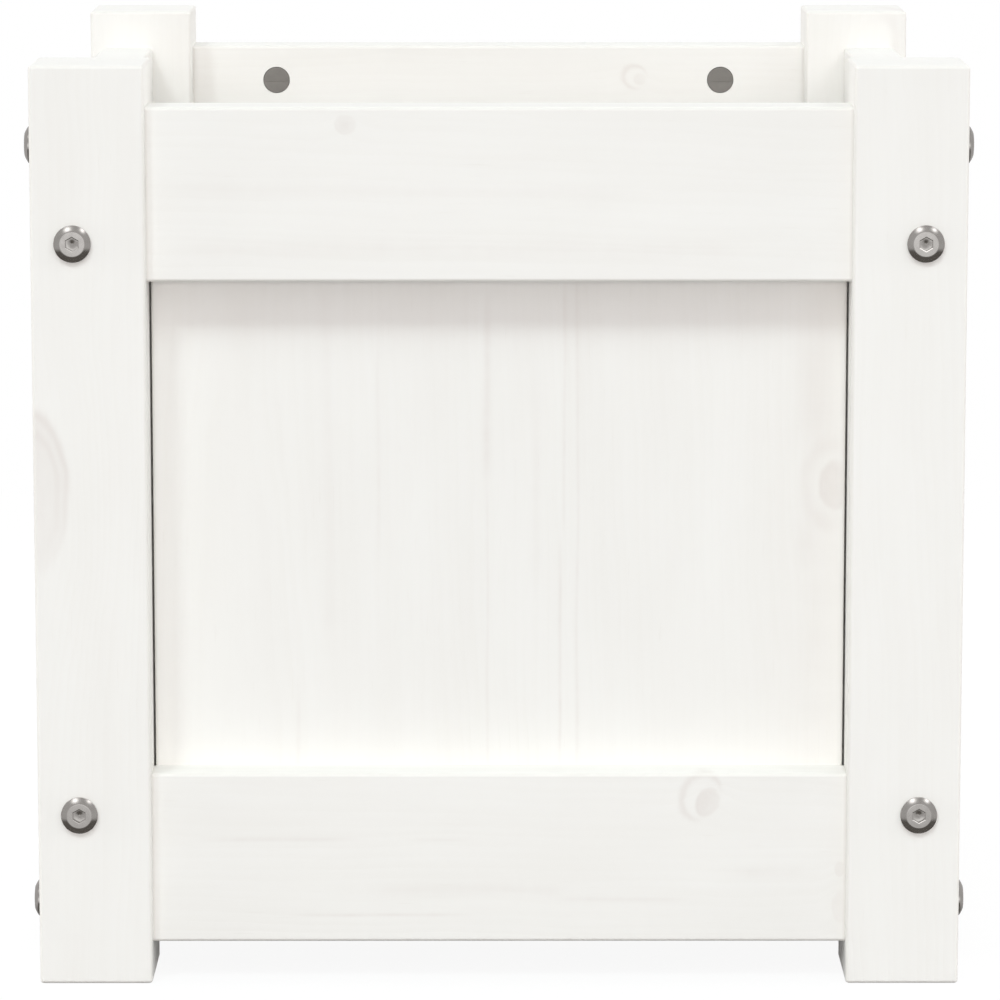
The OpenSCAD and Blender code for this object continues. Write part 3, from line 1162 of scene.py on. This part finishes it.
def add_lamp(lamp, tint):
    data = bpy.data.lights.new(lamp.name, "AREA")
    data.shape = "RECTANGLE"
    data.size = lamp.width
    data.size_y = lamp.height
    data.energy = lamp.watts
    data.color = tint
    towards = towards_lamp(lamp)
    holder = bpy.data.objects.new(lamp.name, data)
    holder.location = AIM + towards * LAMP_DISTANCE
    holder.rotation_euler = towards.to_track_quat("Z", "Y").to_euler()
    holder.visible_camera = False
    holder.visible_glossy = False
    bpy.context.scene.collection.objects.link(holder)


def add_lamps():
    groups = (
        (HIGH_LAMPS, HIGH_TINT),
        (BACK_LAMPS, BACK_TINT),
        (FRONT_LAMPS, FRONT_TINT),
        (SIDE_LAMPS, SIDE_TINT),
    )
    for lamps, tint in groups:
        for lamp in lamps:
            add_lamp(lamp, tint)


# Where the camera stands and looks, in metres, and its lens and picture width, in millimetres
CAMERA_PLACE = Vector((-0.0016, -1.882, 0.4411))
CAMERA_AIM = Vector((0.0003, -0.155, 0.1655))
CAMERA_LENS = 189.1
SENSOR_WIDTH = 36


def add_camera():
    data = bpy.data.cameras.new("camera")
    data.sensor_width = SENSOR_WIDTH
    data.lens = CAMERA_LENS
    camera = bpy.data.objects.new("camera", data)
    camera.location = CAMERA_PLACE
    camera.rotation_euler = (CAMERA_AIM - CAMERA_PLACE).to_track_quat("-Z", "Y").to_euler()
    bpy.context.scene.collection.objects.link(camera)
    bpy.context.scene.camera = camera


# Knots and streaks of the boards that show at the front, and a painted shadow of the right post on
# the front panel

POST_KNOTS = {
    "front_left": (
        Knot(12.5, -20.1, 28, 12.7, 0, 0.4, ((0.98, 0.08, 0.5), (0.74, 0.08, 0.26)), (0.95, 0.2, 0)),
    ),
    "back_right": (Knot(140, 4, 12, 7, 20, 0.12, ((1.2, 0.2, 0.3), (1.8, 0.2, 0.25)), (0, 1, 0.2)),),
}
RAIL_KNOTS = {
    ("upper", "front"): (Knot(-50.9, 23.2, 3.5, 3.3, 0, 0.3, ((0.0, 0.5, 0.45),), (0, 0, 0)),),
    ("lower", "front"): (
        Knot(70.1, 19.1, 3.9, 5.2, -25, 0.62, ((1.42, 0.2, 0.5),), (-1, 0.25, 0.38)),
        Knot(115, -4, 1.8, 2.6, 0, 0.34, (), (0, 0, 0)),
        Knot(115.5, -17, 3.2, 5.5, 0, 0.22, (), (0, 0, 0)),
    ),
    ("upper", "back"): (Knot(54, 16, 4.0, 3.6, -30, 0.3, ((1.5, 0.2, 0.5),), (-1, 0, 0.3)),),
}
RAIL_STREAKS = {
    ("upper", "front"): (
        Streak(1.0, -110, 40, 2.6, 0.12),
        Streak(-18.5, -105, 80, 3.2, 0.13),
    ),
    ("lower", "front"): (
        Streak(6.3, -95, -52, 0.8, 0.28),
        Streak(6.0, -26, -14, 0.6, 0.22),
        Streak(-19.9, -66, -14, 0.6, 0.3),
        Streak(-14.3, 22, 60, 0.9, 0.22),
        Streak(-11.3, -40, 20, 2.2, 0.16),
        Streak(-4.8, 78, 104, 2.0, 0.16),
    ),
}
PANEL_KNOTS = {
    "front": (Knot(12.9, 113.0, 8.6, 5.6, 0, 0.5, ((1.55, 0.34, 0.24),), (0.15, -1, 0.15)),),
}
PANEL_STREAKS_AND_SHADOW = {
    "front": (
        Streak(-3.9, 16, 74, 1.3, 0.34),
        Streak(-3.9, -88, 10, 0.6, 0.22),
        Streak(20.6, -80, -10, 0.6, 0.3),
        Streak(21.8, 0, 80, 0.6, 0.24),
        Streak(26.3, -85, 85, 0.6, 0.24),
        Streak(12.2, -20, 50, 1.6, 0.12),
        Streak(-40.6, -10, 60, 0.7, 0.16),
        Streak(-57.4, -40, 80, 2.2, 0.12),
        Streak(-67.9, -85, -58, 0.8, 0.2),
        Streak(105.5, 30, 60, 7.0, 0.2),
        Streak(103.0, -13, -2, 3.5, 0.2),
        # Painted shadow: the right post's soft shadow on the panel's right side, painted as a broad
        # darker streak
        Streak(108.5, -88, 92, 8.0, 0.11),
    ),
}


# Seeds of the paint and of the stray knots
POST_SEED = 11
RAIL_SEED = 31
PANEL_SEED = 51
BEARER_SEED = 61
SLAT_SEED = 70
# Half length and half width of a board as stray knots see it, in millimetres
RAIL_FIELD = (105, 25)
PANEL_FIELD = (80, 100)
SLAT_FIELD = (100, 20)


def stray_knots(seed, field, count):
    """A few small knots at places that the seed decides, for boards that the front hides."""
    rng = random.Random(seed)
    knots = []
    for _ in range(count):
        along, across = rng.uniform(-0.8, 0.8) * field[0], rng.uniform(-0.6, 0.6) * field[1]
        length = rng.uniform(3.0, 6.5)
        width = length * rng.uniform(0.7, 1.0)
        rings = ((rng.uniform(1.25, 1.45), 0.17, rng.uniform(0.5, 0.8)),)
        pull = (rng.choice((-1, 1)), rng.uniform(-0.4, 0.4), 0.3)
        core = rng.uniform(0.5, 0.95)
        knots.append(Knot(along, across, length, width, rng.uniform(-35, 35), core, rings, pull))
    return tuple(knots)


def add_posts():
    corners = {
        "front_left": (("front", -1), ("left", -1)),
        "front_right": (("front", 1), ("right", -1)),
        "back_right": (("back", 1), ("right", 1)),
        "back_left": (("back", -1), ("left", 1)),
    }
    for seed, (corner, sides) in enumerate(corners.items(), POST_SEED):
        piece = make_post(corner, sides)
        smooth(piece)
        knots = POST_KNOTS.get(corner, ())
        node = "post_" + corner
        hand_over(piece, node, painted_pine(node, Z, Y, seed, -1, knots))


def show_face(side):
    """Which end of the axis through a side's boards looks outwards."""
    return int(sum(OUTWARD[side]))


def add_rails():
    seed = RAIL_SEED
    for level in ("upper", "lower"):
        for side in SIDES:
            piece = make_rail(side, level)
            smooth(piece)
            node = f"{level}_rail_{side}"
            knots = RAIL_KNOTS.get((level, side)) or stray_knots(seed, RAIL_FIELD, 1 + seed % 2)
            streaks = RAIL_STREAKS.get((level, side), ())
            run = RUN[side]
            paint = painted_pine(node, run, 1 - run, seed, show_face(side), knots, streaks)
            hand_over(piece, node, paint)
            seed += 1


def add_panels():
    for seed, side in enumerate(SIDES, PANEL_SEED):
        piece = make_panel(side)
        smooth(piece)
        node = "panel_" + side
        knots = PANEL_KNOTS.get(side) or stray_knots(seed, PANEL_FIELD, 3)
        streaks = PANEL_STREAKS_AND_SHADOW.get(side, ())
        paint = painted_pine(node, Z, 1 - RUN[side], seed, show_face(side), knots, streaks, 0.9)
        hand_over(piece, node, paint)


def add_base():
    for seed, side in enumerate(BEARER_SIDES, BEARER_SEED):
        piece = make_bearer(side)
        smooth(piece)
        node = "bearer_" + side
        hand_over(piece, node, painted_pine(node, Y, X, seed, 1, ()))
    for k in range(1, SLAT_COUNT + 1):
        seed = SLAT_SEED + k
        piece = make_slat(k)
        smooth(piece)
        node = f"slat_{k}"
        knots = stray_knots(seed, SLAT_FIELD, 1 + k % 2)
        hand_over(piece, node, painted_pine(node, X, Z, seed, 1, knots))


def add_copies(model, places, name, node, material):
    """Copies of a fastener at its places, given as (point, direction) pairs, as one piece."""
    copies = [copy_of(model, "copy", facing(point, direction)) for point, direction in places]
    hand_over(join(copies, name), node, material)


def add_fasteners():
    nickel = turned_metal("satin_nickel", NICKEL)
    zinc = turned_metal("dull_zinc", ZINC)
    beech = bare_beech()
    bolt, nut, dowel = make_bolt(), make_nut(), make_dowel()
    for model in (bolt, nut, dowel):
        smooth(model, SHARP_TURNED)
    for side in SIDES:
        run = RUN[side]
        inward = -OUTWARD[side]
        places = [(point, way(run, end)) for end, point in bolt_places(side)]
        add_copies(bolt, places, "button_bolts_" + side, "bolts_" + side, nickel)
        places = [(point, inward) for point in nut_places(side)]
        add_copies(nut, places, "slotted_nuts_" + side, "barrel_nuts_" + side, zinc)
        places = [(point, way(run, end)) for end, point in dowel_places(side)]
        add_copies(dowel, places, "beech_dowels_" + side, "dowels_" + side, beech)
        pin = make_pin(side)
        smooth(pin)
        places = [(point, inward) for point in pin_places(side)]
        add_copies(pin, places, "panel_pins_" + side, "pins_" + side, zinc)
        bpy.data.objects.remove(pin)
    for model in (bolt, nut, dowel):
        bpy.data.objects.remove(model)
    add_screws(zinc)


def add_screws(zinc):
    for side in BEARER_SIDES:
        node = "bearer_screws_" + side
        screw = make_screw(node, X)
        smooth(screw)
        places = [(point, -OUTWARD[side]) for point in bearer_screw_places(side)]
        add_copies(screw, places, "cross_screws_" + side, node, zinc)
        bpy.data.objects.remove(screw)
    screw = make_screw("slat_screws", Z)
    smooth(screw)
    up = Vector((0, 0, 1))
    slats = range(1, SLAT_COUNT + 1)
    places = [(point, up) for k in slats for point in slat_screw_places(k)]
    add_copies(screw, places, "cross_screws_floor", "slat_screws", zinc)
    bpy.data.objects.remove(screw)


add_camera()
add_floor()
add_dome()
add_lamps()
add_posts()
add_rails()
add_panels()
add_base()
add_fasteners()
bpy.context.scene.view_settings.view_transform = "Standard"
